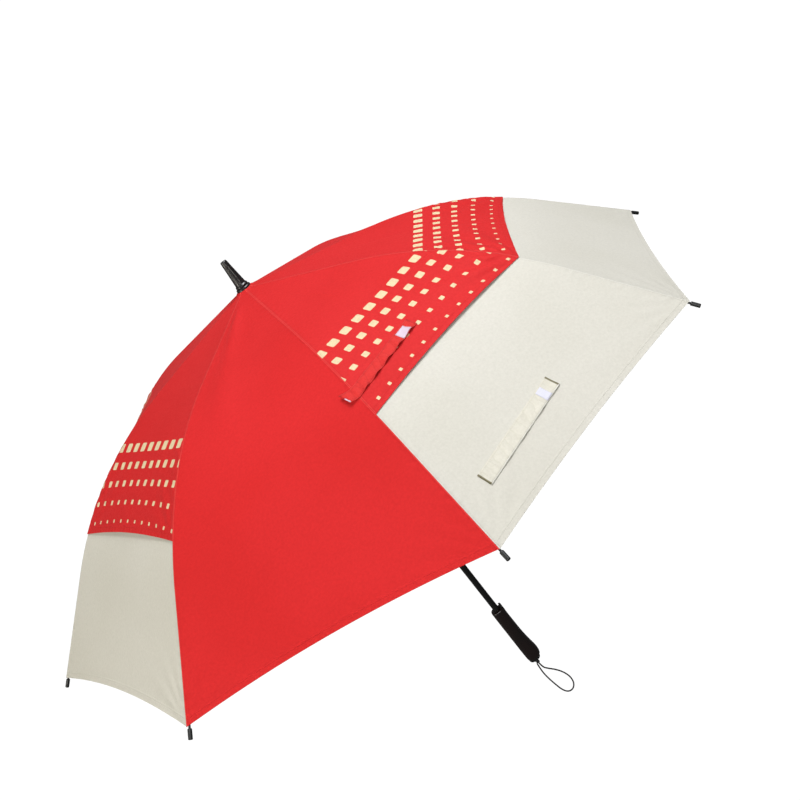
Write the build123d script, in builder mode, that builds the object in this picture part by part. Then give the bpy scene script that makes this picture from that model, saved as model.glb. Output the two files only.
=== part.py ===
"""Golf umbrella with a vented eight-rib canopy, modelled open.

Millimetres. The shaft lies along +Z with the canopy at the top. The origin is the middle of
the hand grip, on the shaft's axis. Rib 1 points along -X and the others follow every 45
degrees, anticlockwise seen from above.
"""

import os
from math import atan2, cos, degrees, hypot, pi, radians, sin, tan

from build123d import *

os.makedirs("parts", exist_ok=True)

# ---------------------------------------------------------------- driving dimensions
RIBS = 8
RIB_ONE_AZIMUTH = -180.0  # degrees
RIB_LENGTH = 750.0  # along the fabric, from the shaft's axis to its corner
CROWN_SLOPE = 12.5  # degrees below level, from the crown to where the bend starts
EDGE_SLOPE = 43.0  # degrees below level, from where the bend ends to the corner
BEND_START = 0.30  # shares of the rib length
BEND_END = 0.75
VENT_AT = 0.658
INNER_EDGE_AT = 0.50  # the lower panels start here, under the covers

FABRIC = 0.8  # thickness
LOWER_LIFT = 0.0  # underside of the lower panels, measured square to the rib curve
UPPER_LIFT = 1.6  # underside of the covers and of the plain gores
STRAP_GAP = 0.35
HEM_DIP = 11.0  # how far the hem curves in from the line between two corners
VENT_DIP = 8.0
CROWN_HOLE = 8.4  # radius
SEAM_GAP = 0.2  # each half gore stops this far from the gore's middle line

ROD_RADIUS = 1.7
ROD_LIFT = -3.0
ROD_OVERRUN = 12.0  # how far the rod runs past the fabric's corner
PIVOT_RADIUS = 12.0  # of the notch's and the runner's pivots, from the shaft's axis
WIRE_RADIUS = 0.6
PIN_CLEARANCE = 0.05
RIB_JOINT_AT = 350.0  # along the rib, where its stretcher is pinned
RIB_JOINT_DROP = 6.5  # from the rod's centre line to that pin
EYE_RADIUS = 2.3
EYE_WIDTH = 3.0
SLOT_WIDTH = 3.8

SHAFT_RADIUS = 6.0
RUNNING_CLEARANCE = 0.1
FIT_CLEARANCE = 0.05
GRIP_TOP = 69.5
GRIP_BOTTOM = -70.0
APEX = 851.9  # where the fabric would meet the shaft's axis
FERRULE_TOP = APEX + 58.7
CORD_RADIUS = 1.5

STEP = 360.0 / RIBS
HALF = radians(STEP / 2)


# ---------------------------------------------------------------- the rib curve
def rib_point(s, lift=0.0):
    """Radius and height of the point at length s along the fabric, lifted square to it."""
    s0, s1 = BEND_START * RIB_LENGTH, BEND_END * RIB_LENGTH
    a0, a1 = radians(CROWN_SLOPE), radians(EDGE_SLOPE)
    bend = (s1 - s0) / (a1 - a0)
    r, z = min(s, s0) * cos(a0), -min(s, s0) * sin(a0)
    a = a0 + (min(max(s, s0), s1) - s0) / bend
    r += bend * (sin(a) - sin(a0))
    z -= bend * (cos(a0) - cos(a))
    past = max(s - s1, 0.0)
    r, z = r + past * cos(a1), z - past * sin(a1)
    return r + lift * sin(a), APEX + z + lift * cos(a), a


def curve_knots(s_from, s_to, lift, squeeze=1.0):
    """Points of a stretch of the rib curve: its ends, the bend's ends and the bend's middle."""
    s0, s1 = BEND_START * RIB_LENGTH, BEND_END * RIB_LENGTH
    inside = [max(s_from, s0), min(s_to, s1)]
    bend = [inside[0], (inside[0] + inside[1]) / 2, inside[1]]
    stops = ([s_from] if s_from < s0 else []) + bend + ([s_to] if s_to > s1 else [])
    return [(rib_point(s, lift)[0] * squeeze, rib_point(s, lift)[1]) for s in stops]


def draw_curve(knots, straight_first, straight_last):
    """Draws the knots as line, arc and line inside a BuildLine."""
    first = 1 if straight_first else 0
    if straight_first:
        Line(knots[0], knots[1])
    ThreePointArc(knots[first], knots[first + 1], knots[first + 2])
    if straight_last:
        Line(knots[-2], knots[-1])


TIP_RADIUS = rib_point(RIB_LENGTH)[0]
NOTCH_Z = APEX - PIVOT_RADIUS * tan(radians(CROWN_SLOPE)) + ROD_LIFT / cos(radians(CROWN_SLOPE))
JOINT_R, JOINT_Z, JOINT_SLOPE = rib_point(RIB_JOINT_AT, ROD_LIFT - RIB_JOINT_DROP)
RUNNER_Z = 2 * JOINT_Z - NOTCH_Z  # the stretcher mirrors the rib's inner length
LINK_LENGTH = hypot(JOINT_R - PIVOT_RADIUS, NOTCH_Z - JOINT_Z)
LINK_SLOPE = atan2(NOTCH_Z - JOINT_Z, JOINT_R - PIVOT_RADIUS)


def azimuth(k):
    return RIB_ONE_AZIMUTH + (k - 1) * STEP


def save(part, name):
    part.label = name
    export_step(part, f"parts/{name}.step")


def ring_at(k):
    """The turn that takes the rib drawn along +X to rib k."""
    return Location((0, 0, 0), (0, 0, azimuth(k)))


# ---------------------------------------------------------------- fabric
def strip(s_from, s_to, lift, thickness, side):
    """A cloth strip over one half gore and beyond: the gore's middle profile, extruded level."""
    squeeze = cos(HALF)
    low = curve_knots(s_from, s_to, lift, squeeze)
    high = curve_knots(s_from, s_to, lift + thickness, squeeze)
    starts = s_from < BEND_START * RIB_LENGTH
    ends = s_to > BEND_END * RIB_LENGTH
    middle = Plane.XZ.rotated((0, 0, side * STEP / 2))
    with BuildPart() as cloth:
        with BuildSketch(middle):
            with BuildLine():
                draw_curve(low, starts, ends)
                draw_curve(high, starts, ends)
                Line(low[0], high[0])
                Line(low[-1], high[-1])
            make_face()
        extrude(amount=TIP_RADIUS, both=True)
    return cloth.part


def half_gore(s_from, s_to, lift, dip, side):
    """Half a gore beside the rib along +X, on its left (side 1) or right (side -1)."""
    reach = rib_point(s_to)[0]
    inner = max(rib_point(s_from)[0], 0.0)
    mid = reach * cos(HALF) - dip
    corner = (reach, 0)
    next_corner = (reach * cos(2 * HALF), side * reach * sin(2 * HALF))
    lip = (mid * cos(HALF), side * mid * sin(HALF))
    with BuildPart() as half:
        add(strip(s_from, s_to + 2 * dip, lift, FABRIC, side))
        with BuildSketch():
            with BuildLine():
                Line((0, 0), corner)
                ThreePointArc(corner, lip, next_corner)
                Line(next_corner, (0, 0))
            make_face()
            with BuildLine():
                edge = SEAM_GAP / sin(HALF)
                far = 2 * reach
                Polyline(
                    (edge, 0),
                    (far, 0),
                    (far * cos(HALF), side * (far * sin(HALF) - SEAM_GAP / cos(HALF))),
                    close=True,
                )
            make_face(mode=Mode.INTERSECT)
            if inner > CROWN_HOLE:
                with BuildLine():
                    Polyline((0, 0), (inner, 0),
                             (inner * cos(2 * HALF), side * inner * sin(2 * HALF)), close=True)
                make_face(mode=Mode.SUBTRACT)
            else:
                Circle(CROWN_HOLE, mode=Mode.SUBTRACT)
        extrude(amount=APEX + 100, mode=Mode.INTERSECT)
    return half.part


def patch(plan, lift, thickness, side, stretch):
    """A strip of webbing that lies on the canopy: plan is its outline seen from above."""
    with BuildPart() as piece:
        add(strip(stretch[0], stretch[1], lift, thickness, side))
        with BuildSketch():
            with BuildLine():
                Polyline(*plan, close=True)
            make_face()
        extrude(amount=APEX + 100, mode=Mode.INTERSECT)
    return piece.part


def make_canopy():
    """One upper and one lower node for each rib: the half gores on both its sides."""
    plain = {(2, 1), (3, -1), (6, 1), (7, -1)}  # (rib, side) pairs with no vent
    cover_end = VENT_AT * RIB_LENGTH
    lower_start = INNER_EDGE_AT * RIB_LENGTH
    cover = {s: half_gore(0.0, cover_end, UPPER_LIFT, VENT_DIP, s) for s in (1, -1)}
    whole = {s: half_gore(0.0, RIB_LENGTH, UPPER_LIFT, HEM_DIP, s) for s in (1, -1)}
    lower = {s: half_gore(lower_start, RIB_LENGTH, LOWER_LIFT, HEM_DIP, s) for s in (1, -1)}
    for k in range(1, RIBS + 1):
        with BuildPart() as upper:
            with Locations(ring_at(k)):
                for side in (1, -1):
                    add(whole[side] if (k, side) in plain else cover[side])
        save(upper.part, f"canopy_upper_{k}")
        with BuildPart() as under:
            with Locations(ring_at(k)):
                for side in (1, -1):
                    if (k, side) not in plain:
                        add(lower[side])
        save(under.part, f"canopy_lower_{k}")


# ---------------------------------------------------------------- ribs and stretchers
def make_rib():
    """A rib along +X: its rod, the eye on the notch's wire and the clip for the stretcher."""
    start = PIVOT_RADIUS / cos(radians(CROWN_SLOPE)) + 1.5
    end = RIB_LENGTH + ROD_OVERRUN
    knots = curve_knots(start, end, ROD_LIFT)
    square = Plane(
        origin=(knots[0][0], 0, knots[0][1]),
        x_dir=(0, 1, 0),
        z_dir=(cos(radians(CROWN_SLOPE)), 0, -sin(radians(CROWN_SLOPE))),
    )
    pin = Location((JOINT_R, 0, JOINT_Z), (0, degrees(JOINT_SLOPE), 0))
    with BuildPart() as rib:
        with BuildLine(Plane.XZ) as route:
            draw_curve(knots, True, True)
        with BuildSketch(square):
            Circle(ROD_RADIUS)
        sweep(path=route.wires()[0])
        with Locations(Location((PIVOT_RADIUS, 0, NOTCH_Z), (90, 0, 0))):
            Cylinder(EYE_RADIUS, EYE_WIDTH)
        with Locations(pin):
            with Locations((0, 0, RIB_JOINT_DROP)):
                Cylinder(3.0, 13.0, rotation=(0, 90, 0))
            with Locations((0, 0, RIB_JOINT_DROP / 2)):
                Box(6.0, 1.6, RIB_JOINT_DROP)
            Cylinder(3.0, 1.6, rotation=(90, 0, 0))
            Cylinder(1.0 + PIN_CLEARANCE, 4.0, rotation=(90, 0, 0), mode=Mode.SUBTRACT)
        with Locations(Location((PIVOT_RADIUS, 0, NOTCH_Z), (90, 0, 0))):
            Cylinder(WIRE_RADIUS + PIN_CLEARANCE, 2 * EYE_WIDTH, mode=Mode.SUBTRACT)
    return rib.part


def make_rib_tip():
    """The plastic cap on the end of a rib along +X."""
    length, depth = 15.0, 10.0
    r, z, slope = rib_point(RIB_LENGTH + ROD_OVERRUN, ROD_LIFT)
    along = Location((r, 0, z), (0, 90 + degrees(slope), 0))
    with BuildPart() as tip:
        with Locations(along):
            with Locations((0, 0, length / 2 - depth)):
                Cylinder(3.2, length)
            fillet(tip.edges().filter_by(GeomType.CIRCLE), radius=1.2)
            with Locations((0, 0, -depth / 2 + 0.1)):
                Cylinder(ROD_RADIUS + FIT_CLEARANCE, depth + 0.2, mode=Mode.SUBTRACT)
    return tip.part


def make_stretcher():
    """A stretcher along +X, from the runner's wire out to the rivet under the rib."""
    cheek, gap = 1.0, 0.8 + 0.15
    width = 2 * (gap + cheek)
    frame = Location((PIVOT_RADIUS, 0, RUNNER_Z), (0, -degrees(LINK_SLOPE), 0))
    with BuildPart() as link:
        with Locations(frame):
            Cylinder(EYE_RADIUS, EYE_WIDTH, rotation=(90, 0, 0))
            with Locations((LINK_LENGTH / 2 - 4.0, 0, 0)):
                Cylinder(1.5, LINK_LENGTH - 12.0, rotation=(0, 90, 0))
            with Locations((LINK_LENGTH - 11.0, 0, 0)):
                Box(7.0, width, 4.4)
            for side in (1, -1):
                with Locations((LINK_LENGTH - 5.0, side * (gap + cheek / 2), 0)):
                    Box(10.0, cheek, 4.4)
                with Locations((LINK_LENGTH, side * (gap + cheek / 2), 0)):
                    Cylinder(2.2, cheek, rotation=(90, 0, 0))
            Cylinder(WIRE_RADIUS + PIN_CLEARANCE, 2 * EYE_WIDTH, rotation=(90, 0, 0),
                     mode=Mode.SUBTRACT)
            with Locations((LINK_LENGTH, 0, 0)):
                Cylinder(1.0, width + 0.8, rotation=(90, 0, 0))
                for side in (1, -1):
                    with Locations((0, side * (width / 2 + 0.3), 0)):
                        Cylinder(1.7, 0.6, rotation=(90, 0, 0))
    return link.part


def make_frame():
    rib, tip, stretcher = make_rib(), make_rib_tip(), make_stretcher()
    for k in range(1, RIBS + 1):
        for piece, name in ((rib, "rib"), (tip, "rib_tip"), (stretcher, "stretcher")):
            with BuildPart() as placed:
                with Locations(ring_at(k)):
                    add(piece)
            save(placed.part, f"{name}_{k}")


# ---------------------------------------------------------------- shaft, notch and runner
def make_wire(z, name):
    """An eight-sided wire ring: each straight side is the pin of one rib or stretcher."""
    with BuildPart() as wire:
        for k in range(RIBS):
            turn = Plane.XY.rotated((0, 0, k * STEP)).offset(z)
            with Locations(turn):
                with Locations((PIVOT_RADIUS, 0, 0)):
                    Cylinder(WIRE_RADIUS, 2 * PIVOT_RADIUS * tan(HALF), rotation=(90, 0, 0))
                with Locations(Location((0, 0, 0), (0, 0, STEP / 2))):
                    with Locations((PIVOT_RADIUS / cos(HALF), 0, 0)):
                        Sphere(WIRE_RADIUS)
    save(wire.part, name)


def cut_wire_seat(z):
    """Cuts slots for the eyes and a groove for the wire ring, inside a BuildPart."""
    groove = WIRE_RADIUS + PIN_CLEARANCE
    for k in range(RIBS):
        with Locations(Location((0, 0, z), (0, 0, k * STEP))):
            with Locations((PIVOT_RADIUS + 1.0, 0, 0)):
                Box(7.0, SLOT_WIDTH, 20.0, mode=Mode.SUBTRACT)
            with Locations((PIVOT_RADIUS, 0, 0)):
                Cylinder(groove, 2 * PIVOT_RADIUS * tan(HALF) + 0.3, rotation=(90, 0, 0),
                         mode=Mode.SUBTRACT)
            with Locations(Location((0, 0, 0), (0, 0, STEP / 2))):
                with Locations((PIVOT_RADIUS / cos(HALF), 0, 0)):
                    Sphere(groove + 0.05, mode=Mode.SUBTRACT)


def make_top_notch():
    with BuildPart() as notch:
        with Locations((0, 0, NOTCH_Z)):
            Cylinder(14.8, 5.2)
        cut_wire_seat(NOTCH_Z)
        with Locations((0, 0, NOTCH_Z - 6.0)):
            Cylinder(9.0, 18.0)
        with Locations((0, 0, NOTCH_Z)):
            Cylinder(SHAFT_RADIUS + FIT_CLEARANCE, 60.0, mode=Mode.SUBTRACT)
    save(notch.part, "top_notch")
    make_wire(NOTCH_Z, "notch_wire")


def make_runner():
    """The sleeve that slides on the shaft: a slotted head and a long grip below it."""
    grip_length, flange = 92.0, 4.0
    with BuildPart() as runner:
        with Locations((0, 0, RUNNER_Z)):
            Cylinder(14.8, 5.2)
        cut_wire_seat(RUNNER_Z)
        with Locations((0, 0, RUNNER_Z + 1.0)):
            Cylinder(9.0, 12.0)
        with Locations((0, 0, RUNNER_Z - 3.2)):
            Cylinder(14.8, flange, align=(Align.CENTER, Align.CENTER, Align.MAX))
            Cylinder(10.8, grip_length, align=(Align.CENTER, Align.CENTER, Align.MAX))
        with Locations((0, 0, RUNNER_Z - 3.2 - grip_length)):
            Cylinder(12.4, 5.0, align=(Align.CENTER, Align.CENTER, Align.MIN))
        fillet(
            runner.edges().filter_by(GeomType.CIRCLE).group_by(Axis.Z)[0].sort_by(
                SortBy.RADIUS)[-1:],
            radius=1.5,
        )
        with Locations((0, 0, RUNNER_Z)):
            Cylinder(SHAFT_RADIUS + RUNNING_CLEARANCE, 300.0, mode=Mode.SUBTRACT)
    save(runner.part, "runner")
    make_wire(RUNNER_Z, "runner_wire")


def make_shaft():
    """The tube, from inside the grip to inside the ferrule."""
    bottom, top, bore = GRIP_BOTTOM + 18.0, APEX + 22.0, 5.0
    with BuildPart() as shaft:
        with Locations((0, 0, bottom)):
            Cylinder(SHAFT_RADIUS, top - bottom,
                     align=(Align.CENTER, Align.CENTER, Align.MIN))
            Cylinder(bore, top - bottom, align=(Align.CENTER, Align.CENTER, Align.MIN),
                     mode=Mode.SUBTRACT)
    save(shaft.part, "shaft")


def make_ferrule():
    """Collar and fluted, tapering spike above the fabric, pushed onto the shaft's end."""
    base, neck_radius, end_radius = APEX - 0.1, 9.7, 5.9
    neck = base + 11.5
    taper = degrees(atan2(neck_radius - end_radius, FERRULE_TOP - neck))
    flutes, flute_radius, flute_length = 8, 2.0, 32.0
    with BuildPart() as ferrule:
        with BuildSketch(Plane.XZ):
            with BuildLine():
                Polyline(
                    (0, base + 0.9), (8.0, base + 0.9), (12.6, base), (13.5, base + 1.2), (13.5, base + 4.6),
                    (12.4, base + 5.8), (10.8, base + 6.2), (11.4, base + 7.4),
                    (11.4, base + 9.4), (10.4, base + 10.6),
                    (neck_radius, neck), (end_radius, FERRULE_TOP - 1.0),
                    (end_radius - 1.0, FERRULE_TOP), (0, FERRULE_TOP), (0, base + 0.9),
                )
            make_face()
        revolve(axis=Axis.Z)
        for k in range(flutes):
            with Locations(Location((0, 0, 0), (0, 0, k * 360 / flutes))):
                groove = ((neck_radius + end_radius) / 2 + 1.3, 0, (neck + FERRULE_TOP) / 2 - 2)
                with Locations(Location(groove, (0, -taper, 0))):
                    Cylinder(flute_radius, flute_length, mode=Mode.SUBTRACT)
        with Locations((0, 0, base - 1.0)):
            Cylinder(SHAFT_RADIUS + FIT_CLEARANCE, 24.0,
                     align=(Align.CENTER, Align.CENTER, Align.MIN), mode=Mode.SUBTRACT)
    save(ferrule.part, "ferrule")


# ---------------------------------------------------------------- handle
BUTTON_SIDE = -7.0  # azimuth that the button and the swell of the bulb face, degrees
CAP_LENGTH = 6.0
# Height, width, depth and sideways shift of the grip's sections, from its foot to its top.
GRIP_SECTIONS = [
    (GRIP_BOTTOM + CAP_LENGTH, 23.4, 23.4, 0.6),
    (GRIP_BOTTOM + 9.0, 27.6, 26.0, 1.8),
    (GRIP_BOTTOM + 14.0, 29.6, 27.2, 2.4),
    (GRIP_BOTTOM + 20.0, 30.2, 27.4, 2.5),
    (GRIP_BOTTOM + 28.0, 29.8, 27.0, 2.2),
    (GRIP_BOTTOM + 38.0, 28.6, 26.4, 1.5),
    (GRIP_BOTTOM + 50.0, 27.3, 25.8, 0.9),
    (GRIP_BOTTOM + 64.0, 26.3, 25.3, 0.4),
    (GRIP_BOTTOM + 82.0, 25.7, 25.0, 0.1),
    (GRIP_BOTTOM + 112.0, 25.4, 24.8, 0.0),
    (GRIP_TOP, 25.2, 24.6, 0.0),
]
GRIP_TOP_ROUND = 3.5
BUTTON_WIDTH = 9.5
BUTTON_INNER, BUTTON_OUTER = 8.6, 12.9  # from the shaft's axis
BUTTON_LOW, BUTTON_HIGH = GRIP_TOP - 12.0, GRIP_TOP + 6.0
BUTTON_TRAVEL = 2.0


def on_button_side(x, z):
    """The place at distance x from the shaft's axis, towards the button."""
    return Location((0, 0, z), (0, 0, BUTTON_SIDE)) * Location((x, 0, 0))


def make_grip():
    """The contoured grip, swollen into a bulb at its foot, with a slot for the button."""
    with BuildPart() as grip:
        for z, width, depth, shift in GRIP_SECTIONS:
            with BuildSketch(Plane(on_button_side(shift, z))):
                RectangleRounded(width, depth, 0.4 * min(width, depth))
        loft(ruled=True)
        fillet(grip.edges().group_by(Axis.Z)[-1], radius=GRIP_TOP_ROUND)
        with Locations((0, 0, GRIP_BOTTOM + 17.0)):
            Cylinder(SHAFT_RADIUS + FIT_CLEARANCE, 200.0,
                     align=(Align.CENTER, Align.CENTER, Align.MIN), mode=Mode.SUBTRACT)
        slot_inner = BUTTON_INNER - BUTTON_TRAVEL - 0.3
        with Locations(on_button_side(slot_inner, BUTTON_LOW - 0.1)):
            Box(20.0, BUTTON_WIDTH + 0.2, 40.0,
                align=(Align.MIN, Align.CENTER, Align.MIN), mode=Mode.SUBTRACT)
        with Locations((0, 0, GRIP_BOTTOM + CAP_LENGTH)):
            Cylinder(CORD_RADIUS + 3.0, 11.5,
                     align=(Align.CENTER, Align.CENTER, Align.MIN), mode=Mode.SUBTRACT)
    save(grip.part, "handle_grip")


def make_button():
    """The release button, which is pressed in towards the shaft."""
    with BuildPart() as button:
        with Locations(on_button_side(BUTTON_INNER, BUTTON_LOW)):
            Box(BUTTON_OUTER - BUTTON_INNER, BUTTON_WIDTH, BUTTON_HIGH - BUTTON_LOW,
                align=(Align.MIN, Align.CENTER, Align.MIN))
        top_edges = button.edges().group_by(Axis.Z)[-1]
        outer_edge = top_edges.sort_by_distance((0, 0, BUTTON_HIGH))[-1]
        fillet(outer_edge, radius=3.2)
    save(button.part, "release_button")


def make_handle_cap():
    """The cap that closes the grip's foot and lets the wrist loop out."""
    with BuildPart() as cap:
        foot = on_button_side(GRIP_SECTIONS[0][3], GRIP_BOTTOM)
        with BuildSketch(Plane(foot)):
            RectangleRounded(23.6, 23.6, 9.4)
        extrude(amount=CAP_LENGTH - 0.1)
        fillet(cap.edges().group_by(Axis.Z)[0], radius=4.0)
        with Locations(on_button_side(0, GRIP_BOTTOM)):
            Cylinder(CORD_RADIUS + 0.1, 40.0, mode=Mode.SUBTRACT)
    save(cap.part, "handle_cap")


# ---------------------------------------------------------------- wrist loop
KNOT_Z = GRIP_BOTTOM - 9.0
KNOT_RADIUS = 4.4
# Outwards on the button's side and up, from inside the cap, through the knot and round to it.
LOOP_POINTS = [
    (0.0, -60.0), (0.0, -94.0), (8.0, -106.0), (19.0, -119.0), (28.0, -135.0),
    (33.0, -153.0), (31.0, -170.0), (22.0, -180.0), (11.0, -178.0), (4.0, -165.0),
    (0.5, -148.0), (-2.5, -130.0), (-4.5, -112.0), (-4.4, -98.0), (-3.2, -83.2),
]


def unit(a, b):
    length = hypot(b[0] - a[0], b[1] - a[1])
    return (b[0] - a[0]) / length, (b[1] - a[1]) / length, length


def corner_radii(points):
    """The arc at each corner: 0.45 of the shorter run beside it, over tan of half the turn."""
    radii = []
    for a, b, c in zip(points, points[1:], points[2:]):
        ux, uz, before = unit(a, b)
        vx, vz, after = unit(b, c)
        turn = abs(atan2(ux * vz - uz * vx, ux * vx + uz * vz))
        radii.append(0.45 * min(before, after) / tan(turn / 2))
    return radii


def make_wrist_loop():
    radii = corner_radii(LOOP_POINTS)
    print("wrist loop bend radii, mm:", [round(r, 1) for r in radii])
    upright = Plane.XZ.rotated((0, 0, BUTTON_SIDE))
    start = Plane(origin=upright.from_local_coords((*LOOP_POINTS[0], 0)), z_dir=(0, 0, -1))
    with BuildPart() as loop:
        with BuildLine(upright) as route:
            FilletPolyline(*LOOP_POINTS, radius=radii)
        with BuildSketch(start):
            Circle(CORD_RADIUS)
        sweep(path=route.wires()[0])
    length = route.wires()[0].length
    wanted = pi * CORD_RADIUS**2 * length
    print(f"wrist loop length {length:.1f} mm, volume {loop.part.volume / wanted:.4f} of its tube's")
    save(loop.part, "wrist_loop")
    with BuildPart() as knot:
        with Locations((0, 0, KNOT_Z)):
            Sphere(KNOT_RADIUS)
            Cylinder(CORD_RADIUS + 0.1, 4 * KNOT_RADIUS, mode=Mode.SUBTRACT)
    save(knot.part, "loop_knot")


# ---------------------------------------------------------------- tie straps
STRAP_THICKNESS = 1.2


def over_gore(corners, side):
    """An outline on the gore beside a rib, seen from above. Each corner is its distance from the
    shaft along the gore's middle line, and how far it lies either way from that line."""
    turn = side * HALF
    return [(m * cos(turn) - t * sin(turn), m * sin(turn) + t * cos(turn)) for m, t in corners]


def make_straps():
    """Two closing straps on the third gore. The red one is folded over the seam at its rib."""
    on_cover = UPPER_LIFT + FABRIC + STRAP_GAP
    on_lower = LOWER_LIFT + FABRIC + STRAP_GAP
    whole = (0.0, RIB_LENGTH + 10.0)
    red_outline = [(380.0, -155.0), (366.0, -12.0), (383.0, -12.0), (397.0, -162.0)]
    red_fold = [(380.0, 155.0), (380.0, 139.0), (397.0, 143.0), (397.0, 162.0)]
    beige_outline = [(545.0, -178.0), (535.5, 10.0), (550.0, 10.0), (559.5, -178.0)]
    with BuildPart() as red:
        with Locations(ring_at(3)):
            add(patch(over_gore(red_outline, 1), on_cover, STRAP_THICKNESS, 1, whole))
            add(patch(over_gore(red_fold, -1), on_cover, STRAP_THICKNESS, -1, whole))
    save(red.part, "strap_red")
    with BuildPart() as beige:
        with Locations(ring_at(3)):
            add(patch(over_gore(beige_outline, 1), on_lower, STRAP_THICKNESS, 1, whole))
    save(beige.part, "strap_beige")


make_canopy()
make_frame()
make_top_notch()
make_runner()
make_shaft()
make_ferrule()
make_grip()
make_button()
make_handle_cap()
make_wrist_loop()
make_straps()

print(f"tip radius {TIP_RADIUS:.2f}, notch z {NOTCH_Z:.3f}, rib joint r {JOINT_R:.3f} z {JOINT_Z:.3f}")
print(f"runner z {RUNNER_Z:.3f}, link {LINK_LENGTH:.3f}, link slope {degrees(LINK_SLOPE):.4f}")
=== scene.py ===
"""Looks of a vented golf umbrella: canopy, tie straps, wrist cord, materials, light and camera.

Metres. The frame is the CAD part's own, so a length along a rib or a rib's azimuth means the
same here as it does there.
"""

from math import atan2, cos, exp, hypot, pi, radians, sin

import bmesh
import bpy
from mathutils import Matrix, Vector


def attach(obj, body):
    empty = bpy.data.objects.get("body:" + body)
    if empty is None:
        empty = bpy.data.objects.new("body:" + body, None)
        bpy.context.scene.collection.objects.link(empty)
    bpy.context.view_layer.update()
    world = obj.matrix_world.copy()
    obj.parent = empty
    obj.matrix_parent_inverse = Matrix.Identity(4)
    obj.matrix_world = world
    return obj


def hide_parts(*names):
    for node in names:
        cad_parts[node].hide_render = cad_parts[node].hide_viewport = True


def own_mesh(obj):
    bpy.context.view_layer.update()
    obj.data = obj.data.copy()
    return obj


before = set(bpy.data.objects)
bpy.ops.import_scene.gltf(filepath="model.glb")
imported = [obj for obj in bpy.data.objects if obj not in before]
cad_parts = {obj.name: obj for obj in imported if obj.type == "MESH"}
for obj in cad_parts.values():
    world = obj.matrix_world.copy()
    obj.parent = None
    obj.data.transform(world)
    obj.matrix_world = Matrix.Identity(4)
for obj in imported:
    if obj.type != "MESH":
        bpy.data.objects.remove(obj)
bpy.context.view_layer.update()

scene = bpy.context.scene

# ------------------------------------------------------------------ dimensions
# Gore k lies between rib k and the next one. A level is a length along a rib from the crown.
RIBS = 8
HALF = radians(22.5)  # half a gore's angle
RIB_LENGTH = 0.750
CROWN_SLOPE, EDGE_SLOPE = radians(12.5), radians(43.0)  # a rib's slope at its two ends
BEND_FROM, BEND_TO = 0.225, 0.5625  # levels between which a rib is bent
APEX = 0.8519  # height of the crown
CROWN_EDGE = 0.0087  # level of the hole around the shaft
RUFF_FROM, RUFF_TO = 0.0160, 0.0185  # levels at which the ruff around the shaft starts to drop
RUFF = 0.0022  # and is gone, and how far it is raised
VENT_EDGE = 0.4935  # level of the covers' free edge
LOWER_FROM = 0.375  # level of the lower fabric's inner edge
ROW_STEP = 0.0045  # between two rows of a sheet's mesh
HEM_DIPS = {1: 0.015, 2: 0.013, 3: 0.007}  # how far a hem is hollowed in mid-gore
HEM_DIP, VENT_DIP = 0.011, 0.008  # the same in other gores, and at the vent
UPPER_TOP, LOWER_TOP = 0.0024, 0.0008  # top of each fabric above the rib's line
CLOTH, STRAP_CLOTH = 0.0005, 0.0007  # thicknesses
PLAIN_GORES = (2, 6)  # without a vent or a print
PRINT_SHIFTS = {1: (0.0035, 0.003), 3: (0.009, -0.001), 4: (0.005, 0.007)}
PRINT_SHIFT = (0.004, 0.002)  # of the print in other gores, across and along


# ------------------------------------------------------------------ camera
def place_camera():
    """A view of the seam at rib 3 from outside, rolled so that the handle points down right."""
    azimuth, elevation, roll = radians(-7.21), radians(19.51), radians(-37.22)
    back = Vector((sin(azimuth) * cos(elevation), -cos(azimuth) * cos(elevation), sin(elevation)))
    level = Vector((cos(azimuth), sin(azimuth), 0.0))
    upright = back.cross(level)
    across = level * cos(roll) + upright * sin(roll)
    up = upright * cos(roll) - level * sin(roll)
    data = bpy.data.cameras.new("camera")
    data.lens, data.sensor_width = 50.6, 36.0
    data.clip_end = 100.0
    camera = bpy.data.objects.new("camera", data)
    scene.collection.objects.link(camera)
    aim = Vector((0, 0, 0.52))
    position = aim + across * 0.0722 + up * 0.0626 + back * 2.0023
    axes = Matrix((across, up, back)).transposed().to_4x4()
    camera.matrix_world = Matrix.Translation(position) @ axes
    scene.camera = camera


place_camera()


# ------------------------------------------------------------------ node materials
class Value:
    """An output in a node tree. Arithmetic on it adds Math nodes."""

    def __init__(self, tree, out):
        self.tree, self.out = tree, out

    def math(self, operation, *others):
        node = self.tree.nodes.new("ShaderNodeMath")
        node.operation = operation
        for socket, value in zip(node.inputs, (self, *others)):
            plug(self.tree, socket, value)
        return Value(self.tree, node.outputs[0])

    def __add__(self, other):
        return self.math("ADD", other)

    def __sub__(self, other):
        return self.math("SUBTRACT", other)

    def __mul__(self, other):
        return self.math("MULTIPLY", other)

    def __truediv__(self, other):
        return self.math("DIVIDE", other)

    def __pow__(self, other):
        return self.math("POWER", other)

    def __abs__(self):
        return self.math("ABSOLUTE")

    def sine(self):
        return self.math("SINE")

    def least(self, other):
        return self.math("MINIMUM", other)

    def most(self, other):
        return self.math("MAXIMUM", other)

    def off_centre(self, period):
        """Distance from the nearest whole multiple of period."""
        return abs((self / period + 0.5).math("FRACT") - 0.5) * period

    def fade(self, full, none):
        """1 at full, 0 at none, smooth between."""
        node = self.tree.nodes.new("ShaderNodeMapRange")
        node.interpolation_type = "SMOOTHSTEP"
        for name, value in (("Value", self), ("From Min", full), ("From Max", none),
                            ("To Min", 1.0), ("To Max", 0.0)):
            plug(self.tree, node.inputs[name], value)
        return Value(self.tree, node.outputs[0])


def plug(tree, socket, value):
    """Links an output to a socket, or sets the socket to a constant."""
    if isinstance(value, Value):
        tree.links.new(value.out, socket)
    else:
        socket.default_value = value


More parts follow.
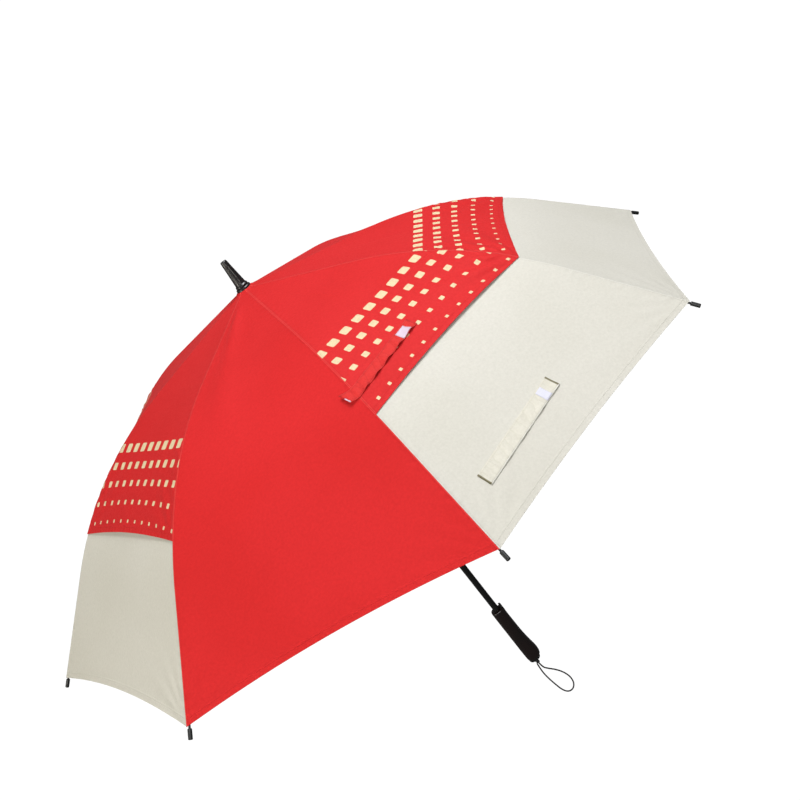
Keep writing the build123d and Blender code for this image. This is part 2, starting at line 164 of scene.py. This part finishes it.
class Finish:
    """One procedural material being made."""

    def __init__(self, name):
        self.material = bpy.data.materials.new(name)
        self.material.use_nodes = True
        self.tree = self.material.node_tree
        self.shader = self.tree.nodes["Principled BSDF"]

    def node(self, kind, output, **settings):
        """A new node's output. A setting is an input's value where there is one by that name."""
        node = self.tree.nodes.new(kind)
        for name, value in settings.items():
            if name in node.inputs:
                plug(self.tree, node.inputs[name], value)
            else:
                setattr(node, name, value)
        return Value(self.tree, node.outputs[output])

    def place(self):
        """Position in the object's own axes."""
        return self.node("ShaderNodeTexCoord", "Object")

    def parts(self, vector):
        """A vector's x, y and z."""
        split = self.node("ShaderNodeSeparateXYZ", 0, Vector=vector).out.node
        return [Value(self.tree, out) for out in split.outputs]

    def uv(self, name):
        """The two numbers of a UV map, in metres."""
        return self.parts(self.node("ShaderNodeUVMap", "UV", uv_map=name))[:2]

    def noise(self, scale, detail=2.0, vector=None, roughness=0.5):
        return self.node("ShaderNodeTexNoise", 0, Vector=vector or self.place(), Scale=scale,
                         Detail=detail, Roughness=roughness)

    def mix(self, share, first, second):
        """First colour at share 0, second at 1."""
        node = self.tree.nodes.new("ShaderNodeMix")
        node.data_type = "RGBA"
        plug(self.tree, node.inputs[0], share)
        plug(self.tree, node.inputs[6], first)
        plug(self.tree, node.inputs[7], second)
        return Value(self.tree, node.outputs[2])

    def done(self, colour, roughness, height=None, **constants):
        """The material, with its constants set on the shader's own sockets."""
        plug(self.tree, self.shader.inputs["Base Color"], colour)
        plug(self.tree, self.shader.inputs["Roughness"], roughness)
        for name, value in constants.items():
            self.shader.inputs[name.replace("_", " ")].default_value = value
        if height is not None:
            bump = self.node("ShaderNodeBump", 0, Height=height, Distance=1.0, Strength=1.0)
            plug(self.tree, self.shader.inputs["Normal"], bump)
        return self.material


def rgb(red, green, blue):
    """A colour from its sRGB numbers, 0 to 255."""
    return tuple(
        (c / 12.92 if c <= 0.04045 else ((c + 0.055) / 1.055) ** 2.4)
        for c in (red / 255, green / 255, blue / 255)
    ) + (1.0,)


THREAD, STITCH = 0.0009, 0.0034  # pitches of the canopy's weave and of all stitches
SQUARES = ((0.340, 0.0163), (0.373, 0.0130), (0.405, 0.0107), (0.438, 0.0077),
           (0.470, 0.0053))  # level of each printed row and side of its squares
SQUARE_PITCH, ROW_BOW = 0.0288, 2.7
SQUARE_COLOUR = rgb(211, 197, 158)


def dashed(line):
    """Where a stitch shows along a line of stitches."""
    return line.off_centre(STITCH).fade(0.0009, 0.0013)


def printed_squares(across, along):
    """1 inside a printed square, 0 outside. A row bows more the farther it is from the first."""
    first = SQUARES[0][0]
    bowed = along - across * across * (along - first).most(0.0) * ROW_BOW
    over = across.off_centre(SQUARE_PITCH) ** 7.0
    squares = None
    for level, size in SQUARES:
        reach = (over + abs(bowed - level) ** 7.0) ** (1 / 7)
        square = reach.fade(size / 2 - 0.0003, size / 2 + 0.0003)
        squares = square if squares is None else squares + square
    return squares


def fabric(name, base, shade, light, edge, crease_shade_depth, printed=False):
    """Woven polyester, with a felled seam at the rib and a stitched hem at the free edge."""
    made = Finish(name)
    across, along = made.uv("cloth")
    seam, hem = made.uv("edge")
    weave = (across * (2 * pi / THREAD)).sine() * (along * (2 * pi / THREAD)).sine()
    slub = made.noise(260, 3.0, roughness=0.7)
    cloudy = made.noise(5.0, 2.0)
    colour = made.mix(cloudy.fade(0.3, 0.7), base, light)
    if printed:
        colour = made.mix(printed_squares(across, along), colour, SQUARE_COLOUR)
    hem_stitch = abs(hem - 0.0085).fade(0.0003, 0.0006) * dashed(across)
    seam_stitch = abs(seam - 0.0030).fade(0.0003, 0.0006) * dashed(along)
    threads = hem_stitch.most(seam_stitch)
    # painted shade: darker in the seam's crease beside the rib and along the hem's fold line
    crease = seam.fade(0.0002, 0.0006) * crease_shade_depth
    hem_fold_shade = abs(hem - 0.0115).fade(0.0004, 0.0012) * 0.05
    shadow = crease.most(hem_fold_shade)
    colour = made.mix((slub - 0.5) * 0.5 + 0.12 + weave * 0.05, colour, shade)
    colour = made.mix(shadow, colour, shade)
    # painted highlight: a lighter line in the edge colour along the seam's raised edge
    colour = made.mix(abs(seam - 0.0009).fade(0.0002, 0.0008) * 0.28, colour, edge)
    colour = made.mix(threads * 0.2, colour, shade)
    pucker = (along * (2 * pi / 0.0145) + made.noise(60, 1.0) * 5.0).sine()
    pucker = pucker * seam.fade(0.002, 0.020) * 0.00010
    hem_pucker = (across * (2 * pi / 0.0125) + made.noise(50, 1.0) * 5.0).sine()
    hem_pucker = hem_pucker * hem.fade(0.004, 0.016) * 0.00006
    height = (weave * 0.00003 + slub * 0.00006 + pucker + hem_pucker
              + hem.fade(0.0105, 0.0125) * 0.0002 + seam.fade(0.0036, 0.0050) * 0.0002
              - seam.fade(0.0, 0.0009) * 0.0004 - threads * 0.0002)
    roughness = slub * 0.2 + 0.55
    return made.done(colour, roughness, height, Sheen_Weight=0.015, Sheen_Roughness=0.4,
                     Specular_IOR_Level=0.1)


# Base, shade, light in cloudy parts, the painted highlight along the seam's raised edge, and the
# strength of the painted shade in its crease.
RED = rgb(192, 35, 35), rgb(134, 14, 17), rgb(197, 38, 39), rgb(232, 92, 86), 0.35
BEIGE = rgb(196, 193, 182), rgb(150, 147, 134), rgb(200, 197, 187), rgb(226, 225, 220), 0.25
red_plain = fabric("red_fabric", *RED)
red_print = fabric("red_print", *RED, printed=True)
beige = fabric("beige_fabric", *BEIGE)


def painted_metal(name, base, worn, roughness, wear=0.25):
    """Black enamel, worn in patches."""
    made = Finish(name)
    fine = made.noise(900, 3.0)
    wide = made.noise(24, 4.0)
    colour = made.mix(wide.fade(0.62, 0.78) * wear, base, worn)
    return made.done(colour, fine * 0.12 + wide * 0.10 + roughness, fine * 0.00001, Metallic=0.3,
                     Coat_Weight=0.15, Coat_Roughness=0.15)


def moulded(name, base, light, roughness, grain=1400, depth=0.00004, coat=0.0):
    """Plastic or rubber with a fine grain."""
    made = Finish(name)
    fine = made.noise(grain, 2.0)
    wide = made.noise(30, 3.0)
    colour = made.mix(wide.fade(0.35, 0.75) * 0.5, base, light)
    return made.done(colour, fine * 0.15 + wide * 0.08 + roughness, fine * depth, Coat_Weight=coat,
                     Coat_Roughness=0.2, Specular_IOR_Level=0.5)


def drawn_steel(name):
    """Bright wire with fine streaks."""
    made = Finish(name)
    streaks = made.noise(900.0)
    colour = made.mix(streaks, rgb(150, 152, 156), rgb(196, 198, 202))
    return made.done(colour, streaks * 0.2 + 0.22, streaks * 0.00002, Metallic=1.0)


def woven_cord(name):
    """Braid: two sets of strands that cross."""
    made = Finish(name)
    x, y, z = made.parts(made.place())
    strand = 2 * pi / 0.0021
    one = ((x + z * 1.1) * strand).sine()
    two = ((x - z * 1.1 + y) * strand).sine()
    braid = one.most(two)
    fuzz = made.noise(2200, 2.0)
    colour = made.mix(braid * 0.35 + fuzz * 0.3, rgb(14, 14, 15), rgb(62, 62, 66))
    return made.done(colour, fuzz * 0.2 + 0.6, braid * 0.00018 + fuzz * 0.00008, Sheen_Weight=0.3)


def strap_cloth(name, base, shade, light, tip_shadow, box_at, length, highlight_at):
    """A folded band with stitched edges, a stitched box at one end, painted shadow at its folded
    ends, painted shade in its creases and a painted highlight near one edge.
    """
    made = Finish(name)
    along, across = made.uv("cloth")
    weave = (along * (2 * pi / 0.0012)).sine() * (across * (2 * pi / 0.0012)).sine()
    slub = made.noise(300, 3.0)
    colour = made.mix((slub - 0.5) * 0.5 + 0.1 + weave * 0.05, base, shade)
    rows = abs(abs(across) - 0.0078).fade(0.0003, 0.0007) * dashed(along)
    box = abs(along - box_at[0]).least(abs(along - box_at[1]))
    rows = rows.most(box.fade(0.0003, 0.0007) * dashed(across))
    colour = made.mix(rows * 0.2, colour, shade)
    tip_shadow_mask = along.least(along * -1.0 + length)
    # painted shadow: darker within a few millimetres of each folded end
    colour = made.mix(tip_shadow_mask.fade(0.0022, 0.0034) * 0.85, colour, tip_shadow)
    creases = ((along + across * 0.5) * (2 * pi / 0.0165) + made.noise(45, 1.0) * 9.0).sine()
    # painted shade: darker in the troughs of the creases
    colour = made.mix(creases.fade(-0.99, -0.80) * 0.15, colour, shade)
    # painted highlight: a light line along the band near its edge towards the hem
    colour = made.mix(abs(across - highlight_at).fade(0.0003, 0.0008) * 0.7, colour, light)
    height = weave * 0.00004 + slub * 0.00008 - rows * 0.0003 + creases * 0.0005
    return made.done(colour, slub * 0.2 + 0.6, height, Sheen_Weight=0.04, Specular_IOR_Level=0.12)


def label_cloth(name, base, shade):
    """Satin for the blank labels."""
    made = Finish(name)
    x, y = made.parts(made.place())[:2]
    satin = ((x + y) * (2 * pi / 0.0008)).sine()
    fine = made.noise(700, 2.0)
    colour = made.mix(fine * 0.4 + satin * 0.1 + 0.1, base, shade)
    return made.done(colour, fine * 0.15 + 0.4, satin * 0.00003 + fine * 0.00005, Sheen_Weight=0.2)


# ------------------------------------------------------------------ small tools
def azimuth(rib):
    """A rib's direction around the shaft."""
    return radians(-180.0 + 45.0 * (rib - 1))


def smooth(x, low, high):
    """0 below low, 1 above high, smooth between."""
    x = min(max((x - low) / (high - low), 0.0), 1.0)
    return x * x * (3 - 2 * x)


def rib_point(s, lift=0.0):
    """Radius, height and downward slope of a rib's fabric line at length s from the crown."""
    bend = (BEND_TO - BEND_FROM) / (EDGE_SLOPE - CROWN_SLOPE)
    first = min(s, BEND_FROM)
    slope = CROWN_SLOPE + (min(max(s, BEND_FROM), BEND_TO) - BEND_FROM) / bend
    last = max(s - BEND_TO, 0.0)
    r = first * cos(CROWN_SLOPE) + bend * (sin(slope) - sin(CROWN_SLOPE)) + last * cos(EDGE_SLOPE)
    z = first * sin(CROWN_SLOPE) + bend * (cos(CROWN_SLOPE) - cos(slope)) + last * sin(EDGE_SLOPE)
    return r + lift * sin(slope), APEX - z + lift * cos(slope), slope


def level_at(middle):
    """Length along the rib at which the gore's middle line is this far from the shaft."""
    low, high = 0.0, 0.9
    for _ in range(40):
        s = (low + high) / 2
        low, high = (s, high) if rib_point(s)[0] * cos(HALF) < middle else (low, s)
    return low


def gore_point(gore, s, x, lift, rise):
    """A point of a gore. x runs from -1 at its first rib to 1 at its second; rise is outwards."""
    middle = azimuth(gore) + HALF
    r, z, slope = rib_point(s, lift)
    out, up = sin(slope), cos(HALF) * cos(slope)
    size = hypot(out, up)
    m, t = r * cos(HALF) + rise * out / size, x * r * sin(HALF)
    return Vector((m * cos(middle) - t * sin(middle), m * sin(middle) + t * cos(middle),
                   z + rise * up / size))


def new_object(name, data, *materials):
    made = bpy.data.objects.new(name, data)
    scene.collection.objects.link(made)
    for material in materials:
        data.materials.append(material)
    return made


def mesh_from(bm, name):
    mesh = bpy.data.meshes.new(name)
    bm.to_mesh(mesh)
    bm.free()
    return mesh


def fit_to_rib(piece, rib, thickness, node):
    """Gives cloth its thickness, hides the CAD node it stands in for, and lets it ride on a rib.
    """
    thick = piece.modifiers.new("cloth", "SOLIDIFY")
    thick.thickness, thick.offset = thickness, -1.0
    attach(piece, f"rib_body_{rib}")
    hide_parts(node)
    a = azimuth(rib)
    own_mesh(piece)


# ------------------------------------------------------------------ wrist cord
CORD_RADIUS = 0.0015
LOOP_TURN = radians(-7.0)  # of the loop's plane around the shaft
# The cord's route, outwards and up, from inside the cap, through the knot and round to it.
LOOP = ((0.0, -0.060), (0.0, -0.094), (0.008, -0.106), (0.019, -0.119), (0.028, -0.135),
        (0.033, -0.153), (0.031, -0.170), (0.022, -0.180), (0.011, -0.178), (0.004, -0.165),
        (0.0005, -0.148), (-0.0025, -0.130), (-0.0045, -0.112), (-0.0044, -0.098),
        (-0.0032, -0.0832))


def in_loop_plane(u, z, side=0.0):
    c, s = cos(LOOP_TURN), sin(LOOP_TURN)
    return Vector((u * c - side * s, u * s + side * c, z))


def spline_object(name, points, material, closed=False):
    data = bpy.data.curves.new(name, "CURVE")
    data.dimensions = "3D"
    data.bevel_depth, data.bevel_resolution = CORD_RADIUS, 6
    data.resolution_u = 12
    line = data.splines.new("NURBS")
    line.points.add(len(points) - 1)
    for knot, point in zip(line.points, points):
        knot.co = (*point, 1.0)
    line.order_u = 3
    line.use_endpoint_u = not closed
    line.use_cyclic_u = closed
    data.use_fill_caps = True
    return new_object(name, data, material)


def make_wrist_loop():
    black_cord = woven_cord("black_cord")
    loop = spline_object("cord_loop", [in_loop_plane(u, z) for u, z in LOOP], black_cord)
    count, height, size, points = 24, -0.079, 0.0021, []
    for i in range(count):
        a = 2 * pi * i / count
        ring = size + 0.0011 * cos(3 * a)
        points.append(in_loop_plane(ring * cos(2 * a), height + size * sin(3 * a),
                                    ring * sin(2 * a)))
    knot = spline_object("cord_knot", points, black_cord, closed=True)
    for piece, node in ((loop, "wrist_loop"), (knot, "loop_knot")):
        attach(piece, "shaft_and_handle")
        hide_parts(node)


make_wrist_loop()


# ------------------------------------------------------------------ canopy
def bulge(gore, upper, s, x):
    """How far the cloth stands out from the straight ruling between its two ribs, in metres."""
    belly = 1 - x * x  # 1 in mid-gore, 0 at the ribs
    plain = gore in PLAIN_GORES
    rib = gore if x < 0 else gore % RIBS + 1
    away = (1 - abs(x)) * rib_point(s)[0] * sin(HALF)
    if upper:
        rise = -0.0025 * belly * smooth(s, 0.05, 0.28)
    else:
        rise = -0.0035 * belly * (1 - 0.6 * smooth(s, 0.40, 0.49)) * (1 - smooth(s, 0.62, 0.75))
    if upper and plain:  # tight at the hem, with one soft swell off its middle line
        rise *= 1 - smooth(s, 0.62, 0.75)
        soft = exp(-((x + 0.42) / 0.26) ** 2) if gore == 2 else exp(-((x - 0.3) / 0.3) ** 2)
        rise += 0.0045 * soft * smooth(s, 0.03, 0.12) * (1 - smooth(s, 0.26, 0.50))
    elif upper:  # the vent's edge stands off the lower fabric
        rise += 0.0035 * belly ** 1.5 * smooth(s, 0.38, VENT_EDGE)
        rise += vent_corner(rib, s, away)
    if plain or not upper:
        rise += hem_corner(rib, s, away)
    return rise


def vent_corner(rib, s, away):
    """Gathers across the seam and soft folds that fan out from the corner of a vent."""
    strength = {4: 1.0, 5: 0.7, 8: 0.7}.get(rib, 0.35)
    window = smooth(s, 0.30, 0.36) * (1 - smooth(s, 0.475, 0.492))
    gathers = 1 + sin(2 * pi * (s / 0.021 + away / 0.055) + 1.7 * sin(s * 90 + rib))
    rise = 0.0014 * gathers * exp(-away / 0.024) * window * min(away / 0.004, 1.0)
    back = VENT_EDGE - s
    reach, turn = hypot(away, back), atan2(away, back)
    fan = (1 + sin(11 * turn + rib)) * smooth(reach, 0.010, 0.050) * exp(-reach / 0.110)
    return strength * (rise + 0.0026 * fan * smooth(away, 0.0, 0.012) * smooth(back, 0.0, 0.010))


def hem_corner(rib, s, away):
    """Puckers beside the seam towards its end, and pulls that fan out from the rib's tip."""
    window = smooth(s, 0.53, 0.60) * (1 - smooth(s, 0.735, 0.749))
    puckers = sin(2 * pi * (s / 0.0185 + away / 0.040) + sin(s * 70 + 2 * rib))
    rise = 0.00065 * puckers * exp(-away / 0.009) * window * min(away / 0.003, 1.0)
    back = RIB_LENGTH - s
    reach, turn = hypot(away, back), atan2(away, back)
    fan = sin(15 * turn + 2 * rib) * smooth(reach, 0.015, 0.060) * exp(-reach / 0.085)
    return rise + 0.0007 * fan * smooth(away, 0.0, 0.010) * smooth(back, 0.0, 0.012)


def levels(start, *stops):
    """Levels of a mesh's rows from start through each of the stops."""
    found = [start]
    for stop in stops:
        count = max(1, round((stop - found[-1]) / ROW_STEP))
        first = found[-1]
        found += [first + (stop - first) * i / count for i in range(1, count)] + [stop]
    return found


def add_faces(bm, layers, grid, flip, index):
    """Quads over a grid of (vertex, place on the cloth, distances to its edges)."""
    for a, b in zip(grid, grid[1:]):
        for i in range(len(a) - 1):
            corners = (a[i], b[i], b[i + 1], a[i + 1])
            if flip:
                corners = corners[::-1]
            face = bm.faces.new([corner[0] for corner in corners])
            face.smooth, face.material_index = True, index
            for loop, corner in zip(face.loops, corners):
                for layer, place in zip(layers, corner[1:]):
                    loop[layer].uv = place


def uv_layers(bm):
    return bm.loops.layers.uv.new("cloth"), bm.loops.layers.uv.new("edge")


def add_half_gore(bm, layers, gore, side, upper, part):
    """The half of a gore that lies on this side (+1 or -1) of a rib, between the levels in
    part."""
    vented = gore not in PLAIN_GORES
    if not upper:
        rows = levels(LOWER_FROM, VENT_EDGE, RIB_LENGTH)
    elif vented:
        rows = levels(CROWN_EDGE, RUFF_FROM, RUFF_TO, VENT_EDGE)
    else:
        rows = levels(CROWN_EDGE, RUFF_FROM, RUFF_TO, VENT_EDGE, RIB_LENGTH)
    start, end, columns = rows[0], rows[-1], 44
    dip = VENT_DIP if upper and vented else HEM_DIPS.get(gore, HEM_DIP)
    lift = UPPER_TOP if upper else LOWER_TOP
    shift = PRINT_SHIFTS.get(gore, PRINT_SHIFT) if upper and vented else (0.0, 0.0)
    grid = []
    for s_row in (level for level in rows if part[0] <= level <= part[1]):
        row = []
        for i in range(columns + 1):
            u = (i / columns) ** 1.35
            share = (s_row - start) / (end - start)
            s = s_row - dip * u * (2 - u) * share ** 2
            hem_at = end - dip * u * (2 - u)
            x = -side * (1 - u)
            ruff = RUFF * (1 - smooth(s, RUFF_FROM, RUFF_TO)) if upper else 0.0
            vertex = bm.verts.new(gore_point(gore, s, x, lift + ruff, bulge(gore, upper, s, x)))
            width = rib_point(s, lift)[0] * sin(HALF)
            row.append((vertex, (x * width + shift[0], s + shift[1]), (u * width, hem_at - s)))
        grid.append(row)
    add_faces(bm, layers, grid, side < 0, 1 if upper and vented else 0)


def make_panel(name, rib, gores, upper, part):
    """A piece of cloth on a rib: its half gores (side: gore), between the levels in part."""
    bm = bmesh.new()
    layers = uv_layers(bm)
    for side, gore in gores.items():
        add_half_gore(bm, layers, gore, side, upper, part)
    bmesh.ops.remove_doubles(bm, verts=bm.verts, dist=0.00002)
    for line in bm.edges:
        line.smooth = not line.is_boundary
    mesh = mesh_from(bm, name)
    materials = (red_plain, red_print) if upper else (beige,)
    panel = new_object(name, mesh, *materials)
    node = f"canopy_{'upper' if upper else 'lower'}_{rib}"
    fit_to_rib(panel, rib, CLOTH, node)
    flat = (len(gores) * rib_point(part[1])[0] * sin(HALF), part[1] - part[0])


# A plain gore's upper fabric is parted at the vent's level into a cover and a skirt.
for rib in range(1, RIBS + 1):
    both = {-1: (rib - 2) % RIBS + 1, 1: rib}
    vented = {side: gore for side, gore in both.items() if gore not in PLAIN_GORES}
    plain = {side: gore for side, gore in both.items() if gore in PLAIN_GORES}
    make_panel(f"cover_{rib}", rib, both, True, (CROWN_EDGE, VENT_EDGE))
    if plain:
        make_panel(f"skirt_{rib}", rib, plain, True, (VENT_EDGE, RIB_LENGTH))
    make_panel(f"lower_{rib}", rib, vented, False, (LOWER_FROM, RIB_LENGTH))


# ------------------------------------------------------------------ tie straps
def on_canopy(gore, middle, t, lift):
    """Point above a gore at this plan distance along its middle line and t across it. Past the
    first rib it carries on over the next gore."""
    s = level_at(middle)
    half_width = rib_point(s)[0] * sin(HALF)
    over = -half_width - t
    upper = gore in PLAIN_GORES or s < VENT_EDGE
    if over > 0:
        gore, t = (gore - 2) % RIBS + 1, half_width - over
        upper = True
    x = max(-1.0, min(1.0, t / half_width))
    base = UPPER_TOP if upper else LOWER_TOP
    return gore_point(gore, s, x, base + lift, bulge(gore, upper, s, x))


BAND_RIB = 3  # both bands ride on this rib and lie on its gore
PLAN_SHARE = 0.84  # width that a band takes up in plan, as a share of its own


def make_band(name, ends, width, wave, materials, labels, node):
    """A folded band laid on the canopy between two (middle, t) ends. Each of its labels runs
    between two shares of its length, from one distance off its centre line to near its edge."""
    bm = bmesh.new()
    layers = uv_layers(bm)
    (m0, t0), (m1, t1) = ends

    def strip(first, last, left, right, base, index, count):
        grid, across = [], 8
        for i in range(count + 1):
            share = first + (last - first) * i / count
            m, t = m0 + (m1 - m0) * share, t0 + (t1 - t0) * share
            along = hypot(m1 - m0, t1 - t0) * share
            row = []
            for j in range(across + 1):
                v = left + (right - left) * j / across
                rise = wave(share, v)
                point = on_canopy(BAND_RIB, m + v * PLAN_SHARE, t + rise * 0.3, base + rise)
                row.append((bm.verts.new(point), (along, v), (float(index), 0.0)))
            grid.append(row)
        add_faces(bm, layers, grid, True, index)

    strip(0.0, 1.0, -width / 2, width / 2, 0.0011, 0, 90)
    for first, last, left in labels:
        strip(first, last, left, width / 2 - 0.0008, 0.0016, 1, 8)
    bmesh.ops.recalc_face_normals(bm, faces=bm.faces)
    band = new_object(name, mesh_from(bm, name), *materials)
    fit_to_rib(band, BAND_RIB, STRAP_CLOTH, node)
    slope = rib_point(level_at((m0 + m1) / 2))[2]


# Each strap: base, shade, painted highlight colour, painted shadow colour at its folded ends.
red_strap = strap_cloth("red_strap", rgb(200, 46, 43), RED[1], rgb(206, 54, 50),
                        rgb(176, 34, 34), box_at=(0.008, 0.030), length=0.1706,
                        highlight_at=0.0094)
beige_strap = strap_cloth("beige_strap", rgb(203, 199, 186), rgb(164, 160, 140),
                          rgb(230, 228, 220), rgb(84, 76, 36), box_at=(0.008, 0.028),
                          length=0.188, highlight_at=0.0090)
label_pink = label_cloth("label_pink", rgb(206, 190, 206), rgb(172, 140, 160))
label_white = label_cloth("label_white", rgb(208, 207, 219), rgb(176, 175, 192))


def red_wave(share, v):
    """Its edge towards the hem stands up in gathers, and its folded end is raised."""
    free_edge = smooth(v, -0.004, 0.011)
    lifted = 0.0022 * (1 + sin(share * 36 + 0.8)) * free_edge * smooth(share, 0.10, 0.25)
    return lifted + 0.0035 * (1 - smooth(share, 0.0, 0.11))


def beige_wave(share, v):
    """Its edge towards the hem is slightly wavy."""
    free_edge = smooth(v, -0.004, 0.011)
    return 0.0007 * (1 + sin(share * 27 + 1.0)) * free_edge * smooth(share, 0.02, 0.2)


make_band("tie_red", ((0.391, -0.182), (0.377, -0.012)), 0.020, red_wave,
          (red_strap, label_pink), ((0.80, 0.92, -0.0070), (0.0, 0.012, 0.0)),
          "strap_red")
make_band("tie_beige", ((0.553, -0.178), (0.543, 0.010)), 0.0195, beige_wave,
          (beige_strap, label_white), ((0.825, 0.895, -0.0080),),
          "strap_beige")


# ------------------------------------------------------------------ carried-over CAD parts
black_tube = painted_metal("black_metal", rgb(14, 15, 14), rgb(44, 45, 44), 0.24)
rod_black = painted_metal("rod_black", rgb(18, 18, 20), rgb(60, 60, 62), 0.30, wear=0.5)
gloss = moulded("black_gloss_plastic", rgb(10, 10, 11), rgb(22, 22, 24), 0.28, grain=600,
                depth=0.000004, coat=0.25)
satin_black = moulded("black_plastic", rgb(17, 18, 18), rgb(34, 35, 35), 0.34)
rubber = moulded("grip_rubber", rgb(15, 5, 5), rgb(27, 12, 11), 0.26, grain=2600, depth=0.000012,
                 coat=0.35)
steel = drawn_steel("wire_steel")

finishes = {"shaft": black_tube, "ferrule": gloss, "top_notch": satin_black, "notch_wire": steel,
            "handle_grip": rubber, "handle_cap": gloss, "runner": satin_black,
            "runner_wire": steel, "release_button": satin_black}
for k in range(1, RIBS + 1):
    finishes[f"rib_{k}"] = rod_black
    finishes[f"stretcher_{k}"] = rod_black
    finishes[f"rib_tip_{k}"] = satin_black
for node, material in finishes.items():
    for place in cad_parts[node].material_slots:
        place.material = material


# ------------------------------------------------------------------ floor, light
def make_floor():
    """A pale floor that runs into a pale dome. Both are seen, and neither lights the object."""
    bm = bmesh.new()
    radius, level, around, up = 30.0, -1.10, 48, 10
    rings = [[bm.verts.new((radius * cos(e) * cos(a), radius * cos(e) * sin(a),
                            level + radius * sin(e)))
              for a in (2 * pi * i / around for i in range(around))]
             for e in (pi / 2 * j / up for j in range(up))]
    bm.faces.new(rings[0])
    top = bm.verts.new((0, 0, level + radius))
    for low, high in zip(rings, rings[1:]):
        for i in range(around):
            j = (i + 1) % around
            bm.faces.new((low[i], low[j], high[j], high[i]))
    for i in range(around):
        bm.faces.new((rings[-1][i], rings[-1][(i + 1) % around], top))
    mesh = mesh_from(bm, "floor")
    made = Finish("floor")
    tone = made.mix(made.noise(3.0, 3.0), rgb(254, 254, 254), rgb(255, 255, 255))
    plug(made.tree, made.shader.inputs["Emission Color"], tone)
    floor = new_object("floor", mesh, made.done(rgb(20, 20, 20), 1.0, Emission_Strength=1.05,
                                                Specular_IOR_Level=0.0))
    for flag in ("visible_diffuse", "visible_glossy", "visible_transmission", "visible_shadow"):
        setattr(floor, flag, False)


def make_sky():
    """Faint light from all round, a little stronger from above."""
    world = bpy.data.worlds.new("studio")
    world.use_nodes = True
    tree = world.node_tree
    direction = tree.nodes.new("ShaderNodeTexCoord")
    split = tree.nodes.new("ShaderNodeSeparateXYZ")
    tree.links.new(direction.outputs["Generated"], split.inputs[0])
    height = Value(tree, split.outputs[2])
    sky = tree.nodes["Background"]
    sky.inputs["Color"].default_value = (1.0, 0.99, 0.97, 1.0)
    plug(tree, sky.inputs["Strength"], height.fade(0.6, -0.6) * 0.06 + 0.10)
    scene.world = world


MIDDLE = Vector((0, 0, 0.7))
CAMERA_UP = Vector((0.6335, 0.188, 0.7505))
CAMERA_RIGHT = Vector((0.7647, -0.3004, -0.5701))
CAMERA_BACK = Vector((-0.1183, -0.9351, 0.3340))


def add_light(name, shares, distance, power, size, colour):
    """A disk aimed at the canopy. Its place is given in shares of the camera's three axes."""
    up, right, back = shares
    way = CAMERA_UP * up + CAMERA_RIGHT * right + CAMERA_BACK * back
    data = bpy.data.lights.new(name, "AREA")
    data.shape, data.size = "DISK", size
    data.energy, data.color = power, colour
    light = bpy.data.objects.new(name, data)
    scene.collection.objects.link(light)
    light.location = position = MIDDLE + way.normalized() * distance
    light.rotation_euler = (MIDDLE - position).to_track_quat("-Z", "Y").to_euler()


make_floor()
make_sky()
WARM = (1.0, 0.96, 0.84)
add_light("key", (0.9, -0.1, 0.4), 3.0, 117, 1.7, (0.95, 0.965, 1.0))
add_light("left", (0.0, -0.85, 0.5), 3.2, 8, 1.6, WARM)
add_light("front", (0.0, 0.0, 1.0), 3.2, 44, 1.6, (1.0, 1.0, 1.0))
add_light("low", (-0.6, -0.6, 0.5), 3.2, 46, 1.6, WARM)
scene.view_settings.view_transform = "Standard"
